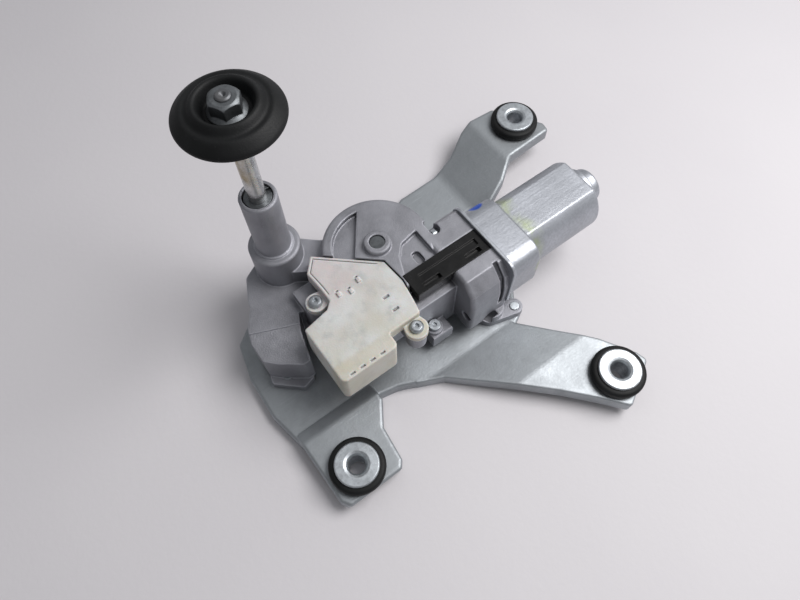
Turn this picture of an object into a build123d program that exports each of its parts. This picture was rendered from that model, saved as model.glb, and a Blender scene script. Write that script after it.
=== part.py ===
from build123d import *
import os
from math import acos, cos, pi, radians, sin, tan

# Rear windshield wiper motor: a worm gearmotor with a swinging output shaft, on a three-armed
# bracket. Millimetres. The model is drawn about the output shaft axis, with +X along the motor
# and z 0 at the bracket's lower rim, and is then moved so that its box stands centred on the
# origin.

# ---- sheet bracket ----
sheet = 2.0
base_top = 7.0
rim_inside = 2.2
rim_depth = 7.0
rim_bend = 1.6
narrow_rim_bend = 1.2
arm_one_bend = 5.0
arm_two_bend = 8.0
arm_three_bend = 12.0
outline_corner = 2.4
base_hole_r = 11.0
arm_one_top = 10.0
arm_two_top = 12.0
arm_three_top = 20.0
pad_tops = (arm_one_top, arm_two_top, arm_three_top)
collar_one = (-25.3, -101.5)
collar_two = (105.2, -141.2)
collar_three = (164.8, 7.7)
collars_at = (collar_one, collar_two, collar_three)
grommet_hole_r = 9.2
lug_hole_r = 2.4

# ---- rubber grommets and mounting collars ----
grommet_r = 13.8
grommet_lower_r = 12.2
grommet_upper = 5.2
grommet_lower = 4.6
collar_flange_r = 10.7
collar_flange = 1.6
collar_r = 6.0
collar_bore_r = 4.3
collar_length = 14.0

# ---- gear housing ----
shaft_r = 4.0
tower_r = 8.5
tower_top = 93.0
tower_bore_r = 4.8
bush_seat_r = 6.0
tower_mouth_r = 6.9
tower_mouth_floor = 89.5
boss_r = 12.6
boss_top = 55.0
housing_bottom = 11.0
drum_r = 27.0
drum_top = 52.0
centre_boss_top = 55.0
wheel_cavity_r = 24.6
wheel_x = 40.0
wheel_y = -29.0

# ---- motor line ----
motor_y = -57.0
motor_z = 36.0
worm_pitch_r = 5.5
worm_turn = 285.0
gear_module = 0.9
wheel_teeth = 50
wheel_thickness = 8.0
armature_r = 4.0

# ---- can ----
can_start = 83.0
can_flange = 1.5
can_end = 147.5
can_half_width = 18.8
can_half_height = 15.6
can_wall = 1.5
end_step_r = 12.4
end_step_length = 4.6
end_boss_r = 9.4
end_boss_length = 12.0

# ---- linkage between the wheel and the output shaft ----
pinion_teeth = 14
sector_teeth = 28
crank_throw = 7.2
link_angle = -140.0
link_swing = 44.8
crank_angle = 150.9
pressure_angle = 25.0

pinion_pitch_r = gear_module * pinion_teeth / 2
sector_pitch_r = gear_module * sector_teeth / 2
link_length = pinion_pitch_r + sector_pitch_r
pivot_x = link_length * cos(radians(link_angle))
pivot_y = link_length * sin(radians(link_angle))
pin_x = wheel_x + crank_throw * cos(radians(crank_angle))
pin_y = wheel_y + crank_throw * sin(radians(crank_angle))


def rod(r, z0, z1, x=0.0, y=0.0):
    """Upright round bar from z0 to z1."""
    return Pos(x, y, z0) * Cylinder(r, z1 - z0, align=(Align.CENTER, Align.CENTER, Align.MIN))


def tube(outer, inner, z0, z1, x=0.0, y=0.0):
    """Upright round tube."""
    return rod(outer, z0, z1, x, y) - rod(inner, z0 - 1, z1 + 1, x, y)


def bar_x(r, x0, x1, y=motor_y, z=motor_z):
    """Round bar along X."""
    lying = Cylinder(r, x1 - x0, align=(Align.CENTER, Align.CENTER, Align.MIN))
    return Pos(x0, y, z) * Rot(0, 90, 0) * lying


def block(x0, x1, y0, y1, z0, z1):
    """Square block between two corners."""
    return Pos((x0 + x1) / 2, (y0 + y1) / 2, (z0 + z1) / 2) * Box(x1 - x0, y1 - y0, z1 - z0)


def prism(points, z0, z1, corner=0.0):
    """Upright prism over a plan outline, with rounded corners."""
    face = make_face(Polyline(*points, close=True).edges())
    if corner:
        face = fillet(face.vertices(), corner)
    return Pos(0, 0, z0) * extrude(face, z1 - z0)


def hull_of(circles):
    """Plan outline stretched round a list of (x, y, r) circles."""
    edges = [e for x, y, r in circles for e in (Pos(x, y) * Circle(r)).edges()]
    return make_hull(edges)


def turned(profile):
    """Round part from a half profile of (radius, height) points about the Z axis."""
    face = make_face(Polyline(*[(r, 0, z) for r, z in profile], close=True).edges())
    return revolve(face, Axis.Z, 360)


def end_strip(profile, x0, x1):
    """Prism whose Y-Z profile runs from x0 to x1."""
    face = make_face(Polyline(*[(x0, y, z) for y, z in profile], close=True).edges())
    return extrude(face, x1 - x0, dir=(1, 0, 0))


def softened(solid, radius):
    """Solid with the edge of its top face rounded."""
    return fillet(solid.faces().sort_by(Axis.Z)[-1].edges(), radius)


# ---------------------------------------------------------------- bracket
lug_centres = [(-27.5, -43.5), (89.0, -82.0), (73.0, -3.0)]
lug_tops = [12.0, 12.0, 15.0]
small_lug_r = 4.4
bracket_screw_head_r = 3.9

base_outline = [
    (-20, 2), (-39, -12), (-44, -32), (-45, -56), (-41, -78), (4, -78), (14, -80),
    (38, -90.5), (82, -88), (85.5, -89), (94.2, -84.5), (94.6, -77), (101, -68.5), (113, -54),
    (126, -22), (118, 13), (84, 12), (60, 2),
]
base_mouth = [(83.5, -86), (81, -94), (99, -94), (99, -74), (92.2, -74), (92.2, -80)]
arm_one_outline = [
    (-41, -70), (-41, -110), (-38, -114.5), (-9, -114.5), (-6, -111), (-4, -93), (4, -81), (4, -70),
]
arm_two_outline = [
    (34, -80), (14, -80), (36, -90.5), (62.5, -117), (76.5, -131), (89, -145), (99.5, -158),
    (123.5, -145), (122, -139), (112, -122), (99, -106), (85, -88), (85, -80),
]
arm_three_outline = [
    (105, 12), (124, 16), (138, 23.5), (146, 25.5), (162, 24.5), (180, -2), (179, -8),
    (148, -9.5), (136, -18), (124, -23), (105, -23),
]
arm_one_mouth = [(-38.6, -111), (-8.2, -111), (-8.2, -118), (-38.6, -118)]
arm_two_mouth = [(101.8, -154.4), (120.8, -143.8), (124.5, -150.5), (105, -161.3)]
arm_three_mouth = [(160.0, 20.5), (175.8, -2.6), (182.5, 2.0), (166.7, 25.5)]


def upper_rim(solid):
    """Edges round the upper surface of a solid."""
    seen = {}
    for face in solid.faces():
        if face.normal_at().Z > 0.5:
            for edge in face.edges():
                place = tuple(round(v, 3) for v in edge.center())
                seen.setdefault(place, []).append(edge)
    return [edges[0] for edges in seen.values() if len(edges) == 1]


def tray(outline, strip, inner_strip, mouth=None, bend=rim_bend):
    """Sheet that follows the strip's upper face, with a rolled rim all round but at its mouth."""
    face = make_face(Polyline(*outline, close=True).edges())
    face = fillet(face.vertices(), outline_corner)
    outside = Pos(0, 0, -20) * extrude(face, 80) & strip
    outside = fillet(upper_rim(outside), bend)
    inner = offset(face, -rim_inside)
    if mouth:
        inner = inner + make_face(Polyline(*mouth, close=True).edges())
    inside = Pos(0, 0, -20) * extrude(inner, 80) & inner_strip
    return outside, inside


def bent_profile(points, bends, radius):
    """Closed profile face with its bend points rounded."""
    face = make_face(Polyline(*points, close=True).edges())
    corners = [
        v for v in face.vertices()
        if any(abs(v.X - b[0]) + abs(v.Y - b[1]) < 0.01 for b in bends)
    ]
    return fillet(corners, radius)


def arm_strips(foot, crest, top, end, bend):
    """Outer and inner strip profiles of an arm that climbs from the base to its pad.

    Drawn flat as (distance along the arm, height), from the middle of the base to the end.
    """
    start = foot - 26 if end > foot else foot + 26
    upper = [(start, base_top), (foot, base_top), (crest, top), (end, top)]
    lower = [(u, z - rim_depth) for u, z in reversed(upper)]
    under = [(u, z - sheet) for u, z in upper]
    deep = [(end, -15), (start, -15)]
    outer = bent_profile(upper + lower, [upper[1], upper[2], lower[1], lower[2]], bend)
    inner = bent_profile(under + deep, [under[1], under[2]], bend)
    return outer, inner


def stand_along_y(face, x0, x1):
    """Stands a flat (y, z) profile up and runs it from x0 to x1."""
    plane = Plane(origin=(x0, 0, 0), x_dir=(0, 1, 0), z_dir=(1, 0, 0))
    return extrude(plane * face, x1 - x0)


def stand_along_x(face, y0, y1):
    """Stands a flat (x, z) profile up and runs it from y0 to y1."""
    plane = Plane(origin=(0, y1, 0), x_dir=(1, 0, 0), z_dir=(0, -1, 0))
    return extrude(plane * face, y1 - y0)


def bracket():
    """Stamped sheet bracket: a base and three ramped arms with rolled-down edges."""
    base = tray(
        base_outline,
        block(-60, 200, -170, 40, 0, base_top),
        block(-60, 200, -170, 40, -5, base_top - sheet),
        base_mouth,
    )
    outer, inner = arm_strips(-70, -77, arm_one_top, -175, arm_one_bend)
    arm_one = tray(
        arm_one_outline, stand_along_y(outer, -80, 200), stand_along_y(inner, -80, 200), arm_one_mouth
    )
    outer, inner = arm_strips(-86, -116, arm_two_top, -175, arm_two_bend)
    arm_two = tray(
        arm_two_outline, stand_along_y(outer, -80, 200), stand_along_y(inner, -80, 200),
        arm_two_mouth, narrow_rim_bend,
    )
    outer, inner = arm_strips(112, 145, arm_three_top, 200, arm_three_bend)
    arm_three = tray(
        arm_three_outline, stand_along_x(outer, -40, 40), stand_along_x(inner, -40, 40), arm_three_mouth
    )

    trays = [base, arm_one, arm_two, arm_three]
    body = trays[0][0]
    for outside, _ in trays[1:]:
        body = body + outside
    for _, inside in trays:
        body = body - inside
    for x, y in collars_at:
        body = body - rod(grommet_hole_r, -10, 40, x, y)
    for (x, y), top in zip(collars_at, pad_tops):
        body = body - rod(grommet_lower_r + 0.4, -10, top - sheet, x, y)
    for x, y in lug_centres:
        body = body - rod(lug_hole_r + 0.2, -10, 40, x, y)
    return body - rod(base_hole_r, -10, 40)


# ---------------------------------------------------------------- grommets and collars
def grommet(x, y, pad_top):
    """Rubber grommet gripped round the edge of the pad's hole."""
    upper_top = pad_top + grommet_upper
    under = pad_top - sheet
    profile = [
        (collar_r, under - grommet_lower), (grommet_lower_r, under - grommet_lower),
        (grommet_lower_r, under), (grommet_hole_r, under), (grommet_hole_r, pad_top),
        (grommet_r, pad_top), (grommet_r, upper_top), (collar_r, upper_top),
    ]
    face = make_face(Polyline(*profile, close=True).edges())
    rounded = [v for v in face.vertices() if v.X > grommet_lower_r - 0.1 and abs(v.Y - under) > 0.1]
    section = Plane.XZ * fillet(rounded, 1.5)
    return Pos(x, y, 0) * revolve(section, Axis.Z, 360)


def collar(x, y, pad_top):
    """Flanged steel collar, with a rounded mouth, that limits how far the rubber is squeezed."""
    top = pad_top + grommet_upper + collar_flange
    profile = [
        (collar_bore_r, top - collar_length), (collar_r, top - collar_length),
        (collar_r, top - collar_flange), (collar_flange_r, top - collar_flange),
        (collar_flange_r, top - 0.5), (collar_flange_r - 0.5, top),
        (collar_bore_r + 2.0, top), (collar_bore_r + 0.8, top - 0.5), (collar_bore_r, top - 1.6),
    ]
    return Pos(x, y, 0) * turned(profile)


# ---------------------------------------------------------------- linkage outline
def involute(angle):
    return tan(angle) - angle


def gear_points(teeth, thin, addendum, dedendum, turn, steps=4):
    """Points round a spur gear, one tooth centred on the turn angle (degrees)."""
    pitch_r = gear_module * teeth / 2
    base_r = pitch_r * cos(radians(pressure_angle))
    tip_r = pitch_r + addendum * gear_module
    root_r = pitch_r - dedendum * gear_module
    half = (pi * gear_module / 2 - thin) / (2 * pitch_r) + involute(radians(pressure_angle))
    flank_start = max(base_r, root_r)
    radii = [flank_start + (tip_r - flank_start) * i / (steps - 1) for i in range(steps)]
    flank = [(r, half - involute(acos(min(1.0, base_r / r)))) for r in radii]
    if root_r < base_r - 0.01:
        flank = [(root_r, flank[0][1])] + flank
    points = []
    for tooth in range(teeth):
        centre = radians(turn) + 2 * pi * tooth / teeth
        for r, a in flank:
            points.append((r * cos(centre - a), r * sin(centre - a)))
        for r, a in reversed(flank):
            points.append((r * cos(centre + a), r * sin(centre + a)))
    return points


def gear_face(*args, **kwargs):
    return make_face(Polyline(*gear_points(*args, **kwargs), close=True).edges())


sector_z0 = 23.5
sector_z1 = 28.5
link_z0 = 20.0
link_z1 = 22.0


def pinion():
    """Pinion pressed on the output shaft's lower end."""
    contact = link_angle + 180.0
    turn = contact + 180.0 + 180.0 / pinion_teeth
    gear = extrude(gear_face(pinion_teeth, 0.14, 0.85, 1.2, turn), sector_z1 - sector_z0 + 1.0)
    return Pos(0, 0, sector_z0 - 0.5) * gear - rod(shaft_r, 0, 40)


def sector_arm():
    """Connecting arm: an eye for the crank pin at one end and a toothed sector at the other."""
    contact = link_angle + 180.0
    full = gear_face(sector_teeth, 0.14, 0.85, 1.2, contact)
    low = radians(contact - 11.0)
    high = radians(contact + link_swing + 11.0)
    mid = (low + high) / 2
    reach = 24.0
    wedge = make_face(
        Polyline(
            (0, 0), (reach * cos(low), reach * sin(low)), (reach * cos(mid), reach * sin(mid)),
            (reach * cos(high), reach * sin(high)), close=True,
        ).edges()
    )
    fan = Pos(pivot_x, pivot_y) * (full & wedge)
    hub = Pos(pivot_x, pivot_y) * Circle(6.2)
    eye = Pos(pin_x, pin_y) * Circle(6.0)
    stem = hull_of([(pivot_x, pivot_y, 4.2), (pin_x, pin_y, 4.2)])
    face = fan + hub + eye + stem
    arm = Pos(0, 0, sector_z0) * extrude(face, sector_z1 - sector_z0)
    arm = arm - rod(2.55, 0, 40, pivot_x, pivot_y)
    return arm - rod(3.1, 0, 40, pin_x, pin_y)


def link_plate():
    """Keeper plate that holds the sector's pivot at the meshing distance from the shaft."""
    face = hull_of([(0, 0, 7.0), (pivot_x, pivot_y, 5.5)])
    plate = Pos(0, 0, link_z0) * extrude(face, link_z1 - link_z0)
    plate = plate - rod(shaft_r + 0.04, 0, 40)
    return plate - rod(2.5, 0, 40, pivot_x, pivot_y)


def sector_pin():
    """Headed pin riveted in the link plate; the sector turns on it."""
    pin = rod(2.5, link_z0 - 1.2, sector_z1 + 0.9, pivot_x, pivot_y)
    return pin + rod(4.0, link_z0 - 1.2, link_z0, pivot_x, pivot_y)


# ---------------------------------------------------------------- housing
mechanism_circles = [
    (0, 0, 9.5),
    (pivot_x, pivot_y, 8.2),
    (link_length * cos(radians(link_angle + link_swing)),
     link_length * sin(radians(link_angle + link_swing)), 8.2),
    (pivot_x - 1.0, pivot_y + 13.2, 1.4),
    (wheel_x, wheel_y, 15.5),
]
platform_outline = [
    (-5, -4), (-18.5, -3), (-32, -21), (-34.5, -28), (-34.5, -38.6), (-29.6, -43.6), (-19.6, -51),
    (-15.5, -51), (-13.8, -44), (-11.5, -36), (-3, -20),
]
module_outline = [
    (10.8, -14.2), (37.5, -37.9), (38.6, -51.6), (36.2, -65.1), (35.0, -69.6), (24.5, -69.6),
    (17.6, -69.8), (17.5, -77), (-12.6, -77), (-12.4, -45.4), (1.4, -42.9), (4.9, -39.8),
    (4.9, -32.3), (4.1, -21.6),
]
module_bottom = 44.2
module_top = 51.0
module_posts = [(0.0, -35.0), (30.2, -73.5)]
module_tab = 3.0
post_foot = 34.5
connector_x = (-12.6, 17.5)
connector_y = (-77.0, -45.6)
connector_z = (30.0, 51.0)
cover_angles = [75.0, 140.0, -8.0]
cover_screw_r = 1.3
cover_screws_at = [(-21.5, -29.6)] + [
    (wheel_x + (drum_r + 0.6) * cos(radians(a)), wheel_y + (drum_r + 0.6) * sin(radians(a)))
    for a in cover_angles
]
ground_screw_at = (45.0, -69.5)
strip_x = (39.5, 82.6)
strip_y = (-63.0, -50.0)
strip_z = (46.0, 52.0)
can_screws_at = [(motor_y + 18.8, motor_z + 10.5), (motor_y - 18.8, motor_z - 10.5)]
can_screw_r = 1.5
can_screw_head_r = 2.7
can_screw_pocket_r = 2.9
can_screw_seat = 69.0
valley_top = 49.2
groove_x = (77.4, 80.2)
groove_depth = 2.6
brush_bore_r = 17.4
brush_bore_half = 13.2
middle_bore_r = 7.2
end_bore_r = 5.5


def cover_face(grow):
    """Plan outline of the bottom cover."""
    face = offset(hull_of(mechanism_circles), 2.2 + grow)
    face = face + Pos(wheel_x, wheel_y) * Circle(drum_r - 0.2 + grow)
    for x, y in cover_screws_at:
        face = face + Pos(x, y) * Circle(3.6 + grow)
    x, y = cover_screws_at[0]
    return face + hull_of([(x, y, 3.6 + grow), (pivot_x, pivot_y, 6.0)])


end_outline = [
    (motor_y + 23, 15), (motor_y + 23, 49), (motor_y + 20.5, 52), (motor_y - 14, 52),
    (motor_y - 20.5, 45.5), (motor_y - 22.5, 36), (motor_y - 22.5, 15),
]


valley_outline = [(50, -35.2), (58.5, -33.6), (60, -33.6), (60, -52), (40, -52), (44.5, -41)]


def end_block():
    """Square motor end of the casting, its gearbox side rounded off."""
    block_end = end_strip(end_outline, 60, can_start)
    rim = [
        e for e in block_end.faces().sort_by(Axis.X)[0].edges()
        if e.center().Z > 16 and e.center().Y < motor_y + 21
    ]
    return fillet(rim, 2.2)


def end_groove():
    """Groove round the front of the motor end, behind its flange, with a drain arch below."""
    face = make_face(Polyline(*[(y, z) for y, z in end_outline], close=True).edges())
    inset = stand_along_y(offset(face, -groove_depth), *groove_x)
    ring = block(*groove_x, motor_y - 30, motor_y - 13, 24, 60) - inset
    arch = Pos(73.5, motor_y - 20, 15) * Rot(90, 0, 0) * Cylinder(4.2, 10)
    return ring + arch


def dimples():
    """Two blind pockets in the neck between the drum and the motor end."""
    near_end = Pos(67.6, -36.2, 45.2) * extrude(RectangleRounded(5.6, 10.0, 2.6), 12)
    near_drum = Pos(52.6, -45.2, 46.8) * extrude(RectangleRounded(4.6, 7.6, 2.2), 12)
    return near_end + near_drum


def platform_slope():
    """Space above the sloping half of the link chamber's roof, past its stepped crease."""
    box = Pos(-8, -20, 10) * Box(44, 40, 20)
    return Pos(-22.1, -28.3, 33.3) * Rot(0, 0, -23) * Rot(8, 0, 0) * box


def housing_solid():
    """Outer form of the die casting, before its cavities."""
    outer = offset(hull_of(mechanism_circles), 2.4)
    body = Pos(0, 0, housing_bottom) * extrude(outer, 34.0 - housing_bottom)
    body = body + prism(platform_outline, housing_bottom, 34.0, 1.2)
    body = body - platform_slope()
    body = body + softened(rod(drum_r, housing_bottom, drum_top, wheel_x, wheel_y), 1.4)
    body = body + softened(rod(boss_r, housing_bottom, boss_top), 1.3)
    body = body + rod(tower_r + 0.9, 50, boss_top + 0.9)
    body = body + softened(rod(tower_r, 50, tower_top), 0.8)
    web = hull_of([(0, 0, 10.5), (wheel_x - 18, wheel_y + 12, 8.0)])
    body = body + Pos(0, 0, housing_bottom) * extrude(web, 43.8 - housing_bottom)
    body = body + block(18.5, 62, motor_y - 9.3, motor_y + 9.3, motor_z - 9.3, 43.8)
    body = body + end_block()
    body = body + block(44, 62, motor_y + 6.8, motor_y + 23, 15, valley_top)
    body = body - prism(valley_outline, valley_top, 60)
    for x, y in module_posts:
        body = body + rod(5.0, post_foot, 43.9, x, y)
    body = body + block(26.2, 34.2, -73.5, -60, post_foot, 43.8)
    body = body + prism([(-5, -35), (0, -40), (14, -38), (8, -20), (-5, -20)], 20, 40, 1.0)
    body = body + softened(rod(6.6, drum_top - 1, centre_boss_top, wheel_x, wheel_y), 0.8)
    body = body + block(40.5, 62, motor_y - 9.3, -54, housing_bottom, 30)
    body = body + rod(4.2, housing_bottom, 22, *ground_screw_at)
    body = body + softened(block(41, 53, -74.6, -62, housing_bottom, 19.5), 0.6)
    for x, y in cover_screws_at:
        body = body + rod(3.6, housing_bottom, 22, x, y)
    return body


def lugs():
    """Feet that stand on the bracket."""
    outline = [(-34, -36), (-36, -43), (-24, -54), (-17, -52), (-16, -42), (-24, -35)]
    first = prism(outline, base_top, lug_tops[0], 1.5)
    x, y = lug_centres[1]
    arm = hull_of([(x, y, small_lug_r), (x - 12, y + 6, 7.0)])
    second = Pos(0, 0, base_top) * extrude(arm, lug_tops[1] - base_top)
    second = second + rod(7.0, base_top, 17, x - 12, y + 6)
    x, y = lug_centres[2]
    arm = hull_of([(x, y, 5.5), (x - 11, y - 13, 7.0)])
    third = Pos(0, 0, base_top) * extrude(arm, lug_tops[2] - base_top)
    return first + second + third


def drum_recess():
    """Shallow step in the drum's top, inside its rim, on the output tower's side."""
    half = Rot(0, 0, 143.5) * Pos(30.5, 0) * Rectangle(40, 80)
    face = Pos(wheel_x, wheel_y) * (Circle(22.0) & half)
    return Pos(0, 0, drum_top - 3.0) * extrude(face, 10)


def gear_housing():
    """Die-cast housing: gear drum, output tower, worm tunnel and motor end in one casting."""
    body = housing_solid() + lugs()
    body = body - extrude(hull_of(mechanism_circles), 31.2)
    body = body - rod(wheel_cavity_r, 0, drum_top - 6.5, wheel_x, wheel_y)
    body = body + rod(6.6, 42, drum_top - 6, wheel_x, wheel_y)
    body = body - drum_recess()
    body = body - rod(shaft_r, 30, centre_boss_top + 1, wheel_x, wheel_y)
    body = body - extrude(cover_face(0.15), housing_bottom)
    body = body - rod(tower_bore_r, 20, 100)
    body = body - rod(bush_seat_r, 30, 43)
    body = body - rod(bush_seat_r, 78, 100)
    body = body - rod(tower_mouth_r, tower_mouth_floor, 100)
    body = body - bar_x(middle_bore_r, 29, 62)
    body = body - bar_x(end_bore_r, 21, 30)
    bore = bar_x(brush_bore_r, 62, can_start + 1)
    bore = bore & block(60, 90, -90, 0, motor_z - brush_bore_half, motor_z + brush_bore_half)
    body = body - bore
    body = body - block(
        strip_x[0] - 0.2, can_start + 1, strip_y[0] - 0.2, strip_y[1] + 0.2, strip_z[0] - 0.2, 60
    )
    outline = offset(make_face(Polyline(*module_outline, close=True).edges()), 0.4)
    body = body - Pos(0, 0, module_bottom - 0.2) * extrude(outline, 20)
    body = body - block(
        connector_x[0] - 0.4, connector_x[1] + 0.4, connector_y[0] - 1, connector_y[1] + 0.4,
        connector_z[0] - 0.4, 60,
    )
    for (x, y), top in zip(lug_centres, lug_tops):
        body = body - rod(lug_hole_r, 0, top + 1, x, y)
    for x, y in module_posts:
        body = body - rod(1.6, 36, 50, x, y)
    for x, y in cover_screws_at:
        body = body - rod(cover_screw_r, 0, 18, x, y)
    for y, z in can_screws_at:
        body = body - bar_x(can_screw_r + 0.15, 60, 90, y, z)
    body = body - bar_x(can_screw_pocket_r, 64.8, can_screw_seat, *can_screws_at[0])
    body = body - bar_x(can_screw_pocket_r, 50, can_screw_seat, *can_screws_at[1])
    body = body - dimples()
    body = body - end_groove()
    return body - rod(1.6, 14, 30, *ground_screw_at)


def cover_plate():
    """Steel plate that closes the underside of the gearbox."""
    plate = Pos(0, 0, 9.2) * extrude(cover_face(0), housing_bottom - 9.2)
    for x, y in cover_screws_at:
        plate = plate - rod(cover_screw_r + 0.2, 0, 20, x, y)
    return plate


def cover_screws():
    """Low-headed screws that hold the bottom cover."""
    return [
        rod(2.6, 7.7, 9.2, x, y) + rod(cover_screw_r - 0.02, 9.2, 17, x, y)
        for x, y in cover_screws_at
    ]


def bracket_screws():
    """Screws driven up through the bracket into the housing's feet."""
    screws = []
    for (x, y), top in zip(lug_centres, lug_tops):
        head = rod(bracket_screw_head_r, 2.2, base_top - sheet, x, y)
        screws.append(head + rod(lug_hole_r - 0.02, base_top - sheet, top + 0.6, x, y))
    return screws


# ---------------------------------------------------------------- output shaft
seal_floor = 143.5
shaft_top = seal_floor + 8.3
thread_r = 3.0
nut_r = 6.5
nut_flange_r = 7.5
nut_top = seal_floor + 7.4


def output_shaft():
    """Output shaft: a headed foot, the pinion seat, plain journals and a threaded end."""
    profile = [
        (0, 18.2), (5.4, 18.2), (5.4, 19.8), (shaft_r, 19.8), (shaft_r, 91.2), (3.4, 91.2),
        (3.4, 92.4), (shaft_r, 92.4), (shaft_r, seal_floor - 1.0), (thread_r, seal_floor),
        (thread_r, shaft_top - 0.5), (thread_r - 0.6, shaft_top), (1.3, shaft_top),
        (0, shaft_top - 1.3),
    ]
    return turned(profile)


def shaft_circlip():
    """Retaining ring in the groove above the tower's mouth."""
    ring = tube(6.2, 3.45, 91.3, 92.3)
    return ring - block(3.0, 8.0, -1.5, 1.5, 90, 94)


def rubber_seal():
    """Domed rubber disc with a deep bowl for the nut, which seals the glass round the shaft."""
    bore = shaft_r + 0.02
    crown = [
        (21.3, -2.4), (21.1, -0.6), (18.4, 1.8), (16.9, 2.9), (15.9, 3.1), (14.9, 3.0),
        (13.6, 4.3), (12.4, 5.4), (11.4, 5.4), (10.4, 3.6), (9.6, 0.7), (8.8, 0.0),
    ]
    underside = [
        (8.8, 0.0), (bore, 0.0), (bore, -6.5), (7.0, -6.5), (8.0, -4.0), (14.0, -2.0),
        (20.3, -3.2), (21.3, -2.4),
    ]
    upper = Spline(*[(r, 0, seal_floor + z) for r, z in crown])
    rest = Polyline(*[(r, 0, seal_floor + z) for r, z in underside])
    return revolve(make_face(upper.edges() + rest.edges()), Axis.Z, 360)


def shaft_nut():
    """Flanged hexagon nut on the threaded end."""
    nut = Pos(0, 0, seal_floor + 0.5) * extrude(RegularPolygon(nut_r, 6), nut_top - seal_floor - 0.5)
    crown = [
        (0, seal_floor), (nut_r, seal_floor), (nut_r, nut_top - 1.4), (nut_r - 0.5, nut_top - 0.7),
        (nut_r - 1.6, nut_top), (0, nut_top),
    ]
    nut = nut & turned(crown)
    flange = [(0, 0.05), (nut_flange_r, 0.05), (nut_flange_r, 0.8), (nut_r - 0.5, 1.8), (0, 1.8)]
    nut = nut + turned([(r, seal_floor + z) for r, z in flange])
    return nut - rod(thread_r + 0.02, seal_floor - 1, nut_top + 1)


# ---------------------------------------------------------------- worm wheel
wheel_z0 = motor_z - wheel_thickness / 2
wheel_z1 = motor_z + wheel_thickness / 2
axle_r = shaft_r
crank_pin_r = 3.0


def worm_wheel():
    """Moulded worm wheel with a thick hub that carries the crank pin."""
    rim = extrude(gear_face(wheel_teeth, 0.28, 0.9, 1.15, 93.6, 3), wheel_thickness)
    wheel = Pos(wheel_x, wheel_y, wheel_z0) * rim
    hub = rod(12.4, wheel_z0, wheel_z1, wheel_x, wheel_y)
    ring = tube(19.0, 12.4, wheel_z0, wheel_z0 + 2.4, wheel_x, wheel_y)
    wheel = wheel - ring + hub
    wheel = wheel + tube(7.0, axle_r, wheel_z1, wheel_z1 + 1.6, wheel_x, wheel_y)
    wheel = wheel - rod(axle_r + 0.04, 0, 80, wheel_x, wheel_y)
    wheel = wheel - rod(crank_pin_r, 0, wheel_z1 - 2, pin_x, pin_y)
    return wheel


def contact_disc():
    """Brass switching ring on the wheel, with a gap that marks the parked position."""
    ring = tube(20.5, 12.0, wheel_z1, wheel_z1 + 0.4, wheel_x, wheel_y)
    gap = block(wheel_x + 15.5, wheel_x + 22, wheel_y - 3, wheel_y + 3, 30, 50)
    return ring - gap


def crank_pin():
    """Crank pin pressed in the underside of the wheel."""
    return rod(crank_pin_r, sector_z1 + 0.3, wheel_z1 - 2, pin_x, pin_y)


def axle_pin():
    """Fixed axle of the worm wheel, pressed in the housing's centre boss."""
    return softened(rod(axle_r, wheel_z0 - 0.2, centre_boss_top - 0.7, wheel_x, wheel_y), 0.5)


# ---------------------------------------------------------------- motor
worm_x = (31.0, 49.0)
worm_pitch = pi * gear_module


def armature_shaft():
    """Steel armature shaft with the single-start worm rolled on it."""
    worm_length = worm_x[1] - worm_x[0]
    core_r = worm_pitch_r - 1.05 * gear_module
    tip_r = worm_pitch_r + 0.85 * gear_module
    thread_height = worm_length - 1.5 * worm_pitch
    half_root = 0.36 * worm_pitch
    half_tip = 0.085 * worm_pitch
    helix = Helix(worm_pitch, thread_height, core_r)
    start = [
        (core_r - 0.3, 0, -half_root), (tip_r, 0, -half_tip), (tip_r, 0, half_tip),
        (core_r - 0.3, 0, half_root),
    ]
    section = make_face(Polyline(*start, close=True).edges())
    thread = sweep(section, path=helix, is_frenet=True)
    thread = Pos(worm_x[0] + 0.75 * worm_pitch, motor_y, motor_z) * Rot(0, 90, 0) * thread
    thread = thread.rotate(Axis((0, motor_y, motor_z), (1, 0, 0)), worm_turn)
    shaft = bar_x(armature_r, 22.2, 151.6) + bar_x(core_r, *worm_x)
    return shaft + thread


def armature_core():
    """Slotted lamination stack."""
    core = bar_x(12.6, 100, 134)
    for i in range(8):
        slot = block(99, 135, motor_y - 1.1, motor_y + 1.1, motor_z + 7.2, motor_z + 14)
        core = core - slot.rotate(Axis((0, motor_y, motor_z), (1, 0, 0)), 45 * i)
    return core - bar_x(armature_r, 90, 140)


def windings():
    """Copper coils: bars in the slots joined by the end turns."""
    coils = bar_x(11.2, 94.5, 99.9) + bar_x(11.2, 134.1, 139.5)
    for i in range(8):
        wire = block(94.6, 139.4, motor_y - 1.0, motor_y + 1.0, motor_z + 7.4, motor_z + 11.0)
        coils = coils + wire.rotate(Axis((0, motor_y, motor_z), (1, 0, 0)), 45 * i)
    return coils - bar_x(armature_r, 90, 145)


def commutator():
    """Copper commutator with eight slits."""
    drum = bar_x(7.2, 72, 84)
    for i in range(8):
        slit = block(71, 82.5, motor_y - 0.25, motor_y + 0.25, motor_z + 6.2, motor_z + 8)
        drum = drum - slit.rotate(Axis((0, motor_y, motor_z), (1, 0, 0)), 45 * i + 22.5)
    return drum - bar_x(armature_r, 60, 90)


def can_section(half_width, half_height, x0, x1):
    """Round section with flats above and below."""
    flats = block(x0, x1, motor_y - 30, motor_y + 30, motor_z - half_height, motor_z + half_height)
    return bar_x(half_width, x0, x1) & flats


def soft_box_x(half_width, half_height, corner, x0, x1):
    """Bar along X with a rounded rectangular section."""
    face = RectangleRounded(2 * half_height, 2 * half_width, corner)
    return Pos(x0, motor_y, motor_z) * Rot(0, 90, 0) * extrude(face, x1 - x0)


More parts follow.
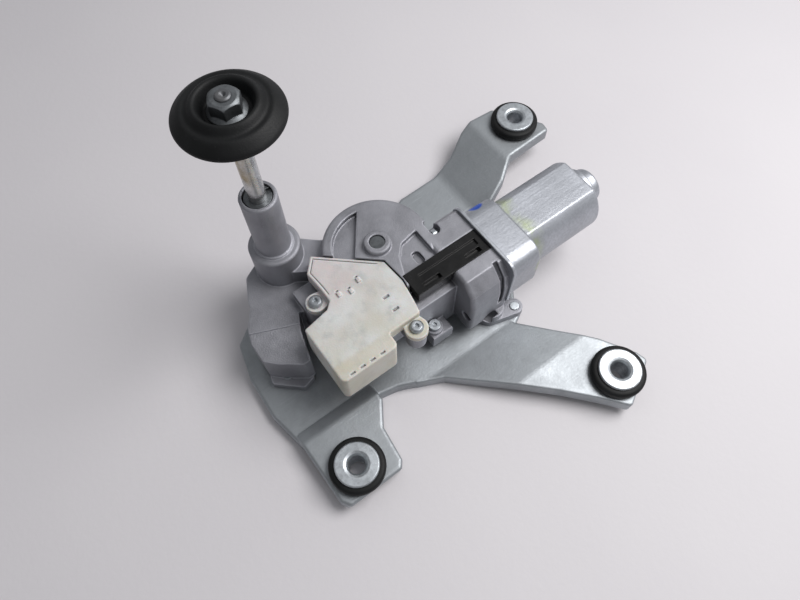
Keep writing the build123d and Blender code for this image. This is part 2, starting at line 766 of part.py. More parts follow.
def end_softened(solid, radius):
    """Solid with the edge of its far end along X rounded."""
    return fillet(solid.faces().sort_by(Axis.X)[-1].edges(), radius)


def motor_can():
    """Drawn steel can: flange, wide mouth, flatted barrel and stepped end boss."""
    x0 = can_start + can_flange
    can = end_softened(can_section(can_half_width, can_half_height, x0, can_end), 1.6)
    can = can + end_softened(Pos(0, -1.2, 0) * soft_box_x(21.6, 16.4, 9.0, x0, 102.0), 1.4)
    can = can + soft_box_x(23.4, 18.0, 6.0, can_start, x0)
    can = can + end_softened(bar_x(end_step_r, can_end - 1, can_end + end_step_length), 1.2)
    can = can + end_softened(bar_x(end_boss_r, can_end, can_end + end_boss_length - 1.4), 1.8)
    can = can + end_softened(bar_x(5.6, can_end, can_end + end_boss_length), 0.8)
    inner = can_section(can_half_width - can_wall, can_half_height - can_wall, x0 - 4, can_end - 1.4)
    can = can - inner
    can = can - Pos(0, -1.2, 0) * soft_box_x(20.1, 14.9, 7.5, x0, 100.4)
    can = can - bar_x(end_step_r - can_wall, can_end - 3, can_end + end_step_length - can_wall)
    can = can - bar_x(7.0, can_end - 3, can_end + 5)
    for y, z in can_screws_at:
        can = can - bar_x(can_screw_r, can_start - 1, x0 + 0.01, y, z)
    return can


def magnet(side):
    """Curved ferrite magnet on one side of the can."""
    shell = bar_x(17.2, 101.5, 137) - bar_x(13.3, 90, 150)
    wing = block(90, 150, motor_y + 6, motor_y + 30, motor_z - 11.5, motor_z + 11.5)
    piece = shell & wing
    return piece if side > 0 else mirror(piece, Plane((0, motor_y, 0), z_dir=(0, 1, 0)))


def bush_x(outer, x0, x1):
    return bar_x(outer, x0, x1) - bar_x(armature_r + 0.04, x0 - 1, x1 + 1)


def brush_box(side):
    """Guide for one carbon brush, standing on the card."""
    near = motor_y + side * 8.8
    far = motor_y + side * 16.6
    box = block(74.9, 80.8, min(near, far), max(near, far), motor_z - 3.5, motor_z + 3.5)
    inner_near = motor_y + side * 8.0
    inner_far = motor_y + side * 15.7
    well = block(
        75.1, 79.9, min(inner_near, inner_far), max(inner_near, inner_far),
        motor_z - 2.6, motor_z + 2.6,
    )
    return box, well


def brush_holder():
    """Black moulding: the brush card in the motor end and its strip to the contact module."""
    card = bar_x(brush_bore_r - 0.2, 72.4, 75) - bar_x(8.6, 70, 80)
    half = brush_bore_half - 0.2
    card = card & block(70, 82, -90, 0, motor_z - half, motor_z + half)
    for side in (1, -1):
        box, well = brush_box(side)
        card = card + (box & bar_x(brush_bore_r - 0.2, 70, 90)) - well
    strip = block(*strip_x, *strip_y, *strip_z)
    strip = strip - block(strip_x[0] + 6, strip_x[1] - 3, -57.5, -54.0, strip_z[1] - 1.2, 60)
    strip = strip - block(strip_x[0] + 5, strip_x[0] + 15, -61.4, -58.8, strip_z[1] - 2.4, 60)
    strip = strip - block(strip_x[1] - 13, strip_x[1] - 4, -61.4, -58.8, strip_z[1] - 2.4, 60)
    return card + strip


def brush(side):
    """Carbon brush, just clear of the commutator."""
    near = motor_y + side * 7.25
    far = motor_y + side * 12.9
    return block(75.2, 79.8, min(near, far), max(near, far), motor_z - 2.5, motor_z + 2.5)


def brush_springs():
    """Coil springs behind the brushes."""
    springs = []
    for side in (1, -1):
        helix = Helix(0.8, 2.0, 1.7)
        section = Plane(origin=helix @ 0, z_dir=helix % 0) * Circle(0.28)
        coil = sweep(section, path=helix, is_frenet=True)
        turn = Rot(-90 * side, 0, 0)
        springs.append(Pos(77.5, motor_y + side * 13.3, motor_z) * turn * coil)
    return springs


def can_screws():
    """Screws from the gearbox side into the can's flange."""
    seat = can_screw_seat
    return [
        bar_x(can_screw_head_r, seat - 2.4, seat, y, z)
        + bar_x(can_screw_r, seat, can_start + can_flange, y, z)
        for y, z in can_screws_at
    ]


# ---------------------------------------------------------------- contact module
blade_x = [-6.5, -1.1, 4.3, 9.7]
blade_y = (-67.0, -66.2)
blade_z = (47.4, 48.2)
socket = (-10.6, 15.5, -74.6, -58.5, 29.0, 48.6)
terminal_loops = [(10.4, -39.0), (15.9, -40.9), (21.9, -38.0)]
rivet_slots_y = (-53.9, -61.6)


def module_face():
    """Plan outline of the module, its two front corners well rounded."""
    face = make_face(Polyline(*module_outline, close=True).edges())
    face = fillet([v for v in face.vertices() if v.Y < connector_y[0] + 0.1], 2.6)
    return fillet([v for v in face.vertices() if v.Y > -70], 0.9)


def module_shell():
    """Cover slab and connector in one, with a softened upper edge."""
    face = module_face()
    slab = Pos(0, 0, module_bottom) * extrude(face, module_top - module_bottom)
    front = Pos(connector_x[1] - 20, connector_y[1] - 20) * Rectangle(40, 40)
    plug = Pos(0, 0, connector_z[0]) * extrude(face & front, connector_z[1] - connector_z[0])
    shell = slab + plug
    shell = fillet(shell.faces().sort_by(Axis.Z)[-1].edges(), 0.7)
    inside = offset(make_face(Polyline(*module_outline, close=True).edges()), -1.6)
    back = inside - front
    return shell - Pos(0, 0, module_bottom - 1) * extrude(back, module_top - module_bottom - 0.8)


def module_marks():
    """Shallow slots and grooves moulded in the module's top."""
    face = module_face()
    ring = offset(face, -1.3) - offset(face, -1.9)
    top_end = Pos(20, -26) * Rectangle(60, 22)
    marks = Pos(0, 0, module_top - 0.4) * extrude(ring & top_end, 1)
    for x in blade_x:
        marks = marks + block(x - 1.3, x + 1.3, -76.0, -75.1, module_top - 0.8, 53)
    for x, y in terminal_loops:
        marks = marks + block(x - 0.7, x + 0.7, y + 0.5, y + 1.6, module_top - 0.9, 53)
    for y in rivet_slots_y:
        marks = marks + block(25.4, 28.8, y - 0.7, y + 0.7, module_top - 0.7, 53)
    return marks


def module_body():
    """White moulded module: cover over the gearbox opening and the cable connector."""
    body = module_shell() - block(*socket)
    for x in blade_x:
        body = body - block(x - 1.2, x + 1.2, -59, -44, blade_z[0] - 0.1, blade_z[1] + 0.1)
    tabs = [(0.0, -35.0, 4.9, 8.0, -35.0), (30.2, -73.5, 5.6, 30.0, -66.0)]
    for x, y, r, to_x, to_y in tabs:
        face = hull_of([(x, y, r), (to_x, to_y, 3.6)])
        body = body + Pos(0, 0, module_bottom) * extrude(face, module_tab)
    for x, y in terminal_loops:
        body = body + block(x - 0.9, x + 0.9, y - 2.2, y + 0.4, module_top - 0.5, module_top + 0.9)
    body = body - module_marks()
    for x, y in module_posts:
        body = body - rod(2.1, 40, 60, x, y)
    return body


def contact_board():
    """Contact carrier inside the module."""
    outline = [(12.2, -26), (31, -41.5), (32, -51), (30.5, -62), (20, -63), (19.4, -44), (12.2, -41)]
    return prism(outline, 45.6, 46.8, 1.0)


def contact_fingers():
    """Spring fingers that wipe the switching ring on the wheel."""
    fingers = []
    for x, y in ((27.5, -36.0), (26.0, -39.2), (24.4, -42.4)):
        blade = block(x - 0.6, x + 0.6, y - 1.0, y + 1.0, 41.6, 45.6)
        foot = block(x - 0.6, x + 2.4, y - 1.0, y + 1.0, wheel_z1 + 0.6, 41.6)
        fingers.append(blade + foot)
    return fingers


def connector_terminals():
    """Flat blades that hang in the connector's socket, each led back into the module."""
    blades = []
    for x in blade_x:
        hanging = block(x - 1.1, x + 1.1, *blade_y, 34.0, blade_z[1])
        leading = block(x - 1.1, x + 1.1, blade_y[0], -44.8, *blade_z)
        blades.append(hanging + leading)
    return blades


def module_screws():
    """Pan-head screws that hold the module on its posts."""
    seat = module_bottom + module_tab
    screws = []
    for x, y in module_posts:
        head = turned([(0, seat), (3.3, seat), (3.3, seat + 1.4), (2.4, seat + 2.3), (0, seat + 2.3)])
        recess = RegularPolygon(1.3, 6)
        head = head - Pos(0, 0, seat + 1.0) * extrude(recess, 3)
        screws.append(Pos(x, y, 0) * (head + rod(1.58, 37, seat)))
    return screws


def ground_screw():
    """Small screw in the earth boss beside the worm tunnel."""
    x, y = ground_screw_at
    head = rod(3.0, 22, 24.2, x, y) - Pos(x, y, 23.2) * extrude(RegularPolygon(1.2, 6), 3)
    return head + rod(1.58, 15, 22, x, y)


def export_all(pieces):
    """Moves every piece so that the whole box is centred on the origin and stands on z 0."""
    solids = {
        name: Compound(children=shape) if isinstance(shape, list) else shape
        for name, shape in pieces.items()
    }
    boxes = [shape.bounding_box() for shape in solids.values()]
    low_x = min(b.min.X for b in boxes)
    high_x = max(b.max.X for b in boxes)
    low_y = min(b.min.Y for b in boxes)
    high_y = max(b.max.Y for b in boxes)
    low_z = min(b.min.Z for b in boxes)
    shift = Pos(-(low_x + high_x) / 2, -(low_y + high_y) / 2, -low_z)
    os.makedirs("parts", exist_ok=True)
    for name, shape in solids.items():
        export_step(shift * shape, f"parts/{name}.step")


export_all({
    "bracket": bracket(),
    "gear_housing": gear_housing(),
    "cover_plate": cover_plate(),
    "cover_screws": cover_screws(),
    "bracket_screws": bracket_screws(),
    "pinion": pinion(),
    "sector_arm": sector_arm(),
    "link_plate": link_plate(),
    "sector_pin": sector_pin(),
    "output_shaft": output_shaft(),
    "shaft_circlip": shaft_circlip(),
    "tower_washer": tube(tower_mouth_r - 0.2, shaft_r + 0.1, tower_mouth_floor + 0.1, 90.9),
    "upper_bush": tube(bush_seat_r - 0.02, shaft_r + 0.04, 78.1, tower_mouth_floor - 0.1),
    "lower_bush": tube(bush_seat_r - 0.02, shaft_r + 0.04, 31.4, 42.9),
    "thrust_washer": tube(7.4, shaft_r + 0.1, 29.2, 31.0),
    "rubber_seal": rubber_seal(),
    "shaft_nut": shaft_nut(),
    "worm_wheel": worm_wheel(),
    "contact_disc": contact_disc(),
    "crank_pin": crank_pin(),
    "axle_pin": axle_pin(),
    "armature_shaft": armature_shaft(),
    "armature_core": armature_core(),
    "windings": windings(),
    "commutator": commutator(),
    "motor_can": motor_can(),
    "magnet_left": magnet(1),
    "magnet_right": magnet(-1),
    "can_bush": bush_x(6.98, can_end - 0.5, can_end + 4.4),
    "worm_bush": bush_x(end_bore_r - 0.02, 22.4, 28.6),
    "middle_bush": bush_x(middle_bore_r - 0.02, 54, 60.5),
    "thrust_piece": bar_x(end_bore_r - 0.1, 21.02, 22.1),
    "brush_holder": brush_holder(),
    "brush_left": brush(1),
    "brush_right": brush(-1),
    "brush_springs": brush_springs(),
    "can_screws": can_screws(),
    "module_body": module_body(),
    "contact_board": contact_board(),
    "contact_fingers": contact_fingers(),
    "connector_terminals": connector_terminals(),
    "module_screws": module_screws(),
    "ground_screw": ground_screw(),
    "grommet_left": grommet(*collar_one, arm_one_top),
    "grommet_right": grommet(*collar_two, arm_two_top),
    "grommet_rear": grommet(*collar_three, arm_three_top),
    "collar_left": collar(*collar_one, arm_one_top),
    "collar_right": collar(*collar_two, arm_two_top),
    "collar_rear": collar(*collar_three, arm_three_top),
})
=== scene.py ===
import bpy
import bmesh
import math
from mathutils import Matrix, Vector


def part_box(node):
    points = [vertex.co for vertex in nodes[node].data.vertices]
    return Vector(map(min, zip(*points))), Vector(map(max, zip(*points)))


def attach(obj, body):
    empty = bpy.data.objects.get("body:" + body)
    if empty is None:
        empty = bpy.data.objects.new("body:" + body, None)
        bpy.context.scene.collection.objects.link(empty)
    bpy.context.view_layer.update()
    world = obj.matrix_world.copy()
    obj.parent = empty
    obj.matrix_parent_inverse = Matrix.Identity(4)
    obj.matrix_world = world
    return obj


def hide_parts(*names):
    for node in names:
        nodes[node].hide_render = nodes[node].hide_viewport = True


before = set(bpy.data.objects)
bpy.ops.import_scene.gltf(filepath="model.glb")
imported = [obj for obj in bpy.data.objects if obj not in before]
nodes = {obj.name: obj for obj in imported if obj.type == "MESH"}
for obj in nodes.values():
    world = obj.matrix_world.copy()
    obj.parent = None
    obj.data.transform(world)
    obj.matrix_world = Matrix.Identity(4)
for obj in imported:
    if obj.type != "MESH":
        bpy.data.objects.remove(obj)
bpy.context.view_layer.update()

# Blender works in metres. A noise scale of 100 gives marks about a hundredth of a metre across.
mm = 0.001


# ---------------------------------------------------------------- node helpers
class Recipe:
    mix_a, mix_b, mix_result = 6, 7, 2  # where a Mix node keeps its colour sockets
    edge_starts, edge_full = 0.985, 0.80  # cosine between the flat and the rounded normal
    edge_samples, shade_samples = 4, 6
    spot_core = 0.6  # part of a spot's radius that is fully covered

    def __init__(self, name):
        self.material = bpy.data.materials.new(name)
        self.material.use_nodes = True
        self.tree = self.material.node_tree
        self.shader = self.tree.nodes["Principled BSDF"]
        self.place = self.add("ShaderNodeTexCoord").outputs["Object"]

    def add(self, kind, inputs=None, **settings):
        node = self.tree.nodes.new(kind)
        for key, value in settings.items():
            setattr(node, key, value)
        for key, value in (inputs or {}).items():
            self.feed(node.inputs[key], value)
        return node

    def feed(self, socket, value):
        """Links the socket when the value is another socket, and sets it otherwise."""
        if isinstance(value, bpy.types.NodeSocket):
            self.tree.links.new(value, socket)
        else:
            socket.default_value = value

    # masks: numbers from 0 to 1 over the surface
    def noise(self, scale, detail, stretch=(1.0, 1.0, 1.0), roughness=0.55):
        mapping = self.add("ShaderNodeMapping", {"Vector": self.place, "Scale": stretch})
        texture = self.add(
            "ShaderNodeTexNoise",
            {"Vector": mapping.outputs[0], "Scale": scale, "Detail": detail, "Roughness": roughness},
        )
        return texture.outputs["Fac"]

    def spots(self, scale, size):
        """1 in small round spots scattered about, 0 elsewhere."""
        cells = self.add("ShaderNodeTexVoronoi", {"Vector": self.place, "Scale": scale})
        return self.ramp(cells.outputs["Distance"], size, size * self.spot_core)

    def edges(self, radius):
        """1 on outside edges, fading over the radius, and the rounded normal. Edges lightened with
        it are partly wear and partly painted highlight.
        """
        bevel = self.add("ShaderNodeBevel", {"Radius": radius}, samples=self.edge_samples)
        geometry = self.add("ShaderNodeNewGeometry")
        dot = self.add("ShaderNodeVectorMath", operation="DOT_PRODUCT")
        self.feed(dot.inputs[0], bevel.outputs[0])
        self.feed(dot.inputs[1], geometry.outputs["Normal"])
        wear_and_highlight = self.ramp(dot.outputs["Value"], self.edge_starts, self.edge_full)
        return wear_and_highlight, bevel.outputs[0]

    def corners(self, reach=6 * mm, open_at=0.62, full_at=0.20):
        """1 in tight corners and pockets, where ambient occlusion finds shade, 0 on open faces; what
        it darkens is painted shade.
        """
        shade = self.add(
            "ShaderNodeAmbientOcclusion", {"Distance": reach}, samples=self.shade_samples
        )
        return self.ramp(shade.outputs["AO"], open_at, full_at)

    def near(self, point, reach, soft):
        """1 within reach of a point, falling to 0 over the soft distance."""
        gap = self.add("ShaderNodeVectorMath", operation="DISTANCE")
        self.feed(gap.inputs[0], self.place)
        gap.inputs[1].default_value = point
        return self.ramp(gap.outputs["Value"], reach + soft, reach)

    def along(self, axis, start, end):
        """Ramp along one axis of the part, from 0 at the start to 1 at the end."""
        return self.ramp(self.axis(axis), start, end)

    # numbers
    def axis(self, name):
        return self.add("ShaderNodeSeparateXYZ", {"Vector": self.place}).outputs[name]

    def ramp(self, value, low, high):
        """Straight ramp from 0 at low to 1 at high."""
        node = self.add(
            "ShaderNodeMapRange", {"Value": value, "From Min": low, "From Max": high}, clamp=True
        )
        return node.outputs[0]

    def span(self, value, low, high):
        """A value from 0 to 1, turned to low to high."""
        node = self.add("ShaderNodeMapRange", {"Value": value, "To Min": low, "To Max": high})
        return node.outputs[0]

    def maths(self, operation, a, b):
        node = self.add("ShaderNodeMath", operation=operation)
        self.feed(node.inputs[0], a)
        self.feed(node.inputs[1], b)
        return node.outputs[0]

    def times(self, a, b):
        return self.maths("MULTIPLY", a, b)

    def plus(self, a, b):
        return self.maths("ADD", a, b)

    # colours
    def mix(self, factor, a, b):
        node = self.add("ShaderNodeMix", data_type="RGBA")
        self.feed(node.inputs[0], factor)
        self.feed(node.inputs[self.mix_a], a)
        self.feed(node.inputs[self.mix_b], b)
        return node.outputs[self.mix_result]

    def cloudy(self, mask, low, high, colour, other):
        """One colour where the mask is at low, the other where it is at high."""
        return self.mix(self.ramp(mask, low, high), colour, other)

    def coat(self, base, mask, strength, colour):
        """The colour laid over the base where the mask is 1, at the given strength."""
        return self.mix(self.times(mask, strength), base, colour)

    def wash(self, base, mask, strength, colour):
        """The colour laid thinly over all of the base, at most at the given strength."""
        return self.mix(self.span(mask, 0.0, strength), base, colour)

    # the surface
    def uneven(self, cloud, low, high, grain, swing):
        """Roughness that drifts between low and high, with a fine swing either way."""
        return self.plus(self.span(cloud, low, high), self.span(grain, -swing, swing))

    def bump(self, height, distance, normal=None):
        node = self.add("ShaderNodeBump", {"Height": height, "Distance": distance})
        if normal is not None:
            self.feed(node.inputs["Normal"], normal)
        return node.outputs[0]

    def finish(self, colour, roughness, normal, metallic=0.0, **others):
        """Feeds the shader. Others are its further inputs, with _ for a space in the name."""
        chosen = {
            "Base Color": colour,
            "Roughness": roughness,
            "Normal": normal,
            "Metallic": metallic,
        }
        for key, value in {**chosen, **others}.items():
            self.feed(self.shader.inputs[key.replace("_", " ")], value)
        return self.material


# ---------------------------------------------------------------- colours
PLAIN = (1.0, 1.0, 1.0)
COOL = (0.94, 1.0, 1.05)
LILAC = (0.97, 0.98, 1.07)
BLUE = (0.95, 0.99, 1.07)

# how metallic the shader is on bare metal, on plated steel and on the casting's skin
BARE_METAL, PLATED, CAST_SKIN = 0.95, 0.85, 0.60


def grey(value, tint=PLAIN):
    return (value * tint[0], value * tint[1], value * tint[2], 1.0)


def brighter(colour, times):
    return tuple(min(1.0, part * times) for part in colour[:3]) + (1.0,)


# ---------------------------------------------------------------- materials
def zinc_sheet():
    """Zinc-plated sheet: satin, cloudy, brighter on its bends and edges, partly rubbed and partly
    painted highlight.
    """
    dark, light = grey(0.31, COOL), grey(0.43, COOL)
    stain, roll_mark = grey(0.24, COOL), grey(0.50, COOL)
    scratch, wear_and_highlight = grey(0.66, COOL), grey(0.80, COOL)
    r = Recipe("zinc_sheet")
    cloud = r.noise(28.0, detail=5.0)
    blotch = r.noise(85.0, detail=6.0, roughness=0.65)
    grain = r.noise(900.0, detail=3.0)
    rolled = r.noise(160.0, detail=3.0, stretch=(1.0, 9.0, 9.0))
    scuff = r.ramp(r.noise(240.0, detail=2.0, stretch=(0.25, 6.0, 1.0)), 0.66, 0.74)
    edge, rounded = r.edges(1.1 * mm)
    colour = r.cloudy(cloud, 0.30, 0.72, dark, light)
    colour = r.coat(colour, r.ramp(blotch, 0.40, 0.66), 0.40, stain)
    colour = r.wash(colour, rolled, 0.35, roll_mark)
    colour = r.coat(colour, scuff, 0.25, scratch)
    # lighter edges and bends: partly wear, partly painted highlight
    colour = r.coat(colour, edge, 0.60, wear_and_highlight)
    rough = r.uneven(blotch, 0.36, 0.62, grain, 0.06)
    normal = r.bump(r.plus(grain, r.times(blotch, 2.5)), 0.06 * mm, rounded)
    return r.finish(colour, rough, normal, PLATED)


def die_cast():
    """Aluminium die casting: dull, lilac-grey, with a sandy skin, flow marks and painted shade in
    its corners.
    """
    dark, light = grey(0.18, LILAC), grey(0.30, LILAC)
    flow_mark, sandy = grey(0.38, LILAC), grey(0.44, LILAC)
    corner_shade, wear_and_highlight = grey(0.05, LILAC), grey(0.74, LILAC)
    r = Recipe("die_cast")
    flow = r.noise(55.0, detail=6.0)
    sand = r.noise(1500.0, detail=3.0)
    streak = r.noise(120.0, detail=5.0, stretch=(1.0, 1.0, 0.12))
    edge, rounded = r.edges(1.2 * mm)
    colour = r.cloudy(flow, 0.34, 0.66, dark, light)
    colour = r.coat(colour, r.ramp(streak, 0.42, 0.68), 0.40, flow_mark)
    colour = r.wash(colour, sand, 0.34, sandy)
    # painted shade: near-black laid into the corners and pockets that ambient occlusion finds
    colour = r.coat(colour, r.corners(), 0.65, corner_shade)
    # lighter edges: partly wear, partly painted highlight
    colour = r.coat(colour, edge, 0.75, wear_and_highlight)
    rough = r.uneven(flow, 0.42, 0.58, sand, 0.08)
    normal = r.bump(r.plus(sand, r.times(flow, 1.8)), 0.16 * mm, rounded)
    return r.finish(colour, rough, normal, CAST_SKIN)


def drawn_steel():
    """Plated steel can: pale, with faint draw lines, a yellow-green stain and a blue paint dab."""
    dark, light = grey(0.38, BLUE), grey(0.52, BLUE)
    draw_line, speck, wear_and_highlight = grey(0.64, BLUE), grey(0.26, BLUE), grey(0.85, COOL)
    stain_green, paint_blue = (0.46, 0.56, 0.15, 1.0), (0.03, 0.12, 0.62, 1.0)
    low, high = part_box("motor_can")
    length, width = high.x - low.x, high.y - low.y
    # the stain is a band across the can, at these parts of its length
    stain_start, stain_full = low.x + length * 0.225, low.x + length * 0.255
    stain_fades, stain_end = low.x + length * 0.28, low.x + length * 0.36
    dab_place = (low.x + 10 * mm, low.y + width * 0.90, high.z - 4 * mm)
    r = Recipe("drawn_steel")
    cloud = r.noise(40.0, detail=5.0)
    lines = r.noise(420.0, detail=3.0, stretch=(0.06, 1.0, 1.0))
    grain = r.noise(700.0, detail=4.0, roughness=0.7)
    edge, rounded = r.edges(1.1 * mm)
    colour = r.cloudy(cloud, 0.30, 0.72, dark, light)
    colour = r.wash(colour, lines, 0.25, draw_line)
    colour = r.coat(colour, r.ramp(grain, 0.42, 0.62), 0.30, speck)
    ragged = r.plus(r.axis("X"), r.span(r.noise(90.0, detail=3.0), -6 * mm, 6 * mm))
    band = r.times(
        r.ramp(ragged, stain_start, stain_full), r.ramp(ragged, stain_end, stain_fades)
    )
    thin = r.ramp(r.noise(130.0, detail=4.0), 0.34, 0.60)
    colour = r.coat(colour, r.times(band, thin), 0.42, stain_green)
    dab = r.near(dab_place, reach=3.2 * mm, soft=1.2 * mm)
    colour = r.mix(dab, colour, paint_blue)
    # lighter edges: partly wear, partly painted highlight
    colour = r.coat(colour, edge, 0.45, wear_and_highlight)
    rough = r.uneven(cloud, 0.34, 0.48, grain, 0.10)
    normal = r.bump(r.plus(grain, lines), 0.08 * mm, rounded)
    return r.finish(colour, rough, normal, PLATED)


def machined_steel(name, dark, light, roughness, turned=True):
    """Turned or rolled steel between a dark and a light grey, with tool lines and lighter edges,
    partly wear and partly painted highlight.
    """
    speck, wear_and_highlight = grey(dark * 0.55, COOL), grey(min(1.0, light * 1.4), COOL)
    r = Recipe(name)
    cloud = r.noise(120.0, detail=4.0)
    stretch = (0.15, 0.15, 1.0) if turned else (1.0, 1.0, 1.0)
    lines = r.noise(1500.0, detail=2.0, stretch=stretch)
    mottle = r.noise(620.0, detail=4.0, roughness=0.7)
    edge, rounded = r.edges(0.5 * mm)
    colour = r.cloudy(cloud, 0.3, 0.7, grey(dark, COOL), grey(light, COOL))
    colour = r.coat(colour, r.ramp(mottle, 0.45, 0.65), 0.45, speck)
    # lighter edges: partly wear, partly painted highlight
    colour = r.coat(colour, edge, 0.5, wear_and_highlight)
    rough = r.uneven(cloud, roughness - 0.06, roughness + 0.08, lines, 0.05)
    return r.finish(colour, rough, r.bump(lines, 0.03 * mm, rounded), BARE_METAL)


def greased_shaft():
    """Ground steel shaft: amber grease up its -X side, above the tower, and a dark threaded end."""
    dark, light, wear_and_highlight = grey(0.40), grey(0.66), grey(0.9)
    amber, thread_grey = (0.34, 0.24, 0.08, 1.0), grey(0.13, BLUE)
    smeared_metal = 0.35
    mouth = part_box("gear_housing")[1].z
    nut_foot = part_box("shaft_nut")[0].z
    low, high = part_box("output_shaft")
    r = Recipe("greased_shaft")
    cloud = r.noise(160.0, detail=4.0)
    lines = r.noise(1300.0, detail=2.0, stretch=(0.1, 0.1, 1.0))
    edge, rounded = r.edges(0.5 * mm)
    colour = r.cloudy(cloud, 0.3, 0.7, dark, light)
    side = r.along("X", high.x - 4.5 * mm, low.x + mm)
    height = r.along("Z", mouth + 8 * mm, mouth + 16 * mm)
    patch = r.ramp(r.noise(170.0, detail=3.0, stretch=(1.0, 1.0, 0.6)), 0.38, 0.55)
    smear = r.times(r.times(side, height), patch)
    colour = r.coat(colour, smear, 0.85, amber)
    # lighter edges: partly wear, partly painted highlight
    colour = r.coat(colour, edge, 0.4, wear_and_highlight)
    thread = r.along("Z", nut_foot - mm, nut_foot)
    colour = r.coat(colour, thread, 0.92, thread_grey)
    rough = r.uneven(cloud, 0.22, 0.34, lines, 0.04)
    rough = r.plus(rough, r.span(thread, 0.0, 0.25))
    normal = r.bump(lines, 0.03 * mm, rounded)
    return r.finish(colour, rough, normal, r.span(smear, BARE_METAL, smeared_metal))


def rubber():
    """Moulded black rubber: matt, faintly dusty, with a fine moulded skin."""
    dark, light = grey(0.006, COOL), grey(0.013, COOL)
    dust_grey, wear_and_highlight = grey(0.12), grey(0.03)
    r = Recipe("rubber")
    bloom = r.noise(70.0, detail=5.0)
    skin = r.noise(1800.0, detail=3.0)
    edge, rounded = r.edges(0.6 * mm)
    colour = r.cloudy(bloom, 0.35, 0.75, dark, light)
    colour = r.coat(colour, r.spots(420.0, size=0.16), 0.04, dust_grey)
    # lighter edges: partly wear, partly painted highlight
    colour = r.coat(colour, edge, 0.25, wear_and_highlight)
    rough = r.uneven(bloom, 0.44, 0.60, skin, 0.08)
    normal = r.bump(skin, 0.08 * mm, rounded)
    return r.finish(colour, rough, normal, Specular_IOR_Level=0.22)


def module_plastic():
    """Natural white plastic, slightly translucent: pinkish at one end, yellowed at the plug."""
    cream, rosy, pale = (0.54, 0.53, 0.46, 1.0), (0.55, 0.52, 0.53, 1.0), (0.62, 0.63, 0.62, 1.0)
    murky, pink = (0.37, 0.39, 0.39, 1.0), (0.58, 0.46, 0.46, 1.0)
    yellowed, slot_shade = (0.50, 0.44, 0.30, 1.0), (0.05, 0.035, 0.025, 1.0)
    edge_highlight = (0.92, 0.93, 0.94, 1.0)
    low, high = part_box("module_body")
    size = high - low
    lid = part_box("module_screws")[1].z + 1.5 * mm
    pink_place = (low.x + 0.36 * size.x, high.y - 14 * mm, high.z)
    r = Recipe("module_plastic")
    cloud = r.noise(75.0, detail=5.0)
    inner = r.noise(120.0, detail=4.0, roughness=0.65)
    skin = r.noise(1300.0, detail=3.0)
    edge, rounded = r.edges(1.4 * mm)
    base = r.mix(r.along("Y", low.y + size.y * 0.15, low.y + size.y * 0.95), cream, rosy)
    colour = r.cloudy(cloud, 0.35, 0.70, base, pale)
    colour = r.coat(colour, r.ramp(inner, 0.50, 0.68), 0.50, murky)
    colour = r.coat(colour, r.near(pink_place, reach=10 * mm, soft=10 * mm), 0.30, pink)
    colour = r.coat(colour, r.along("Y", low.y + 11.5 * mm, low.y + 9.5 * mm), 0.35, yellowed)
    # the slots are the tight places between 0.15 and 1.1 mm under the lid's face; the near-black
    # brown laid in them is painted shade
    under_face = r.along("Z", lid - 0.15 * mm, lid - 0.45 * mm)
    above_floor = r.along("Z", lid - 1.1 * mm, lid - 0.95 * mm)
    tight = r.corners(reach=1.5 * mm, open_at=0.99, full_at=0.80)
    slots = r.times(r.times(under_face, above_floor), tight)
    colour = r.coat(colour, slots, 0.90, slot_shade)
    # painted highlight: the edges lightened to near white
    colour = r.coat(colour, edge, 0.80, edge_highlight)
    rough = r.uneven(cloud, 0.34, 0.48, skin, 0.05)
    normal = r.bump(r.plus(skin, r.times(cloud, 3.0)), 0.08 * mm, rounded)
    return r.finish(colour, rough, normal, Subsurface_Weight=0.15, Subsurface_Scale=3 * mm)


def plain_plastic(name, dark, light, roughness):
    """Moulded plastic with a fine eroded skin."""
    r = Recipe(name)
    cloud = r.noise(90.0, detail=4.0)
    skin = r.noise(1100.0, detail=3.0)
    edge, rounded = r.edges(0.5 * mm)
    colour = r.cloudy(cloud, 0.35, 0.7, dark, light)
    # lighter edges: partly wear, partly painted highlight
    colour = r.coat(colour, edge, 0.35, brighter(light, 2.2))
    rough = r.uneven(cloud, roughness - 0.08, roughness + 0.08, skin, 0.05)
    normal = r.bump(skin, 0.05 * mm, rounded)
    return r.finish(colour, rough, normal, Specular_IOR_Level=0.35)


def coloured_metal(name, dark, light, roughness):
    """Brass, copper or bronze, slightly tarnished."""
    r = Recipe(name)
    tarnish = r.noise(140.0, detail=5.0)
    grain = r.noise(1400.0, detail=2.0)
    edge, rounded = r.edges(0.4 * mm)
    colour = r.cloudy(tarnish, 0.35, 0.7, dark, light)
    # lighter edges: partly wear, partly painted highlight
    colour = r.coat(colour, edge, 0.4, brighter(light, 1.3))
    rough = r.uneven(tarnish, roughness - 0.06, roughness + 0.1, grain, 0.05)
    return r.finish(colour, rough, r.bump(grain, 0.03 * mm, rounded), BARE_METAL)


def pale_backdrop():
    """Pale paper-like floor, faintly clouded."""
    darker, lighter = (0.63, 0.61, 0.635, 1.0), (0.69, 0.672, 0.69, 1.0)
    r = Recipe("pale_backdrop")
    cloud = r.noise(3.0, detail=4.0)
    fibre = r.noise(260.0, detail=4.0)
    colour = r.cloudy(cloud, 0.25, 0.75, darker, lighter)
    return r.finish(colour, r.span(fibre, 0.80, 0.95), r.bump(fibre, 0.1 * mm))


# ---------------------------------------------------------------- what each CAD node is made of
def dress(material, *names):
    for name in names:
        mesh = nodes[name].data
        mesh.materials.clear()
        mesh.materials.append(material)


black_rubber = rubber()

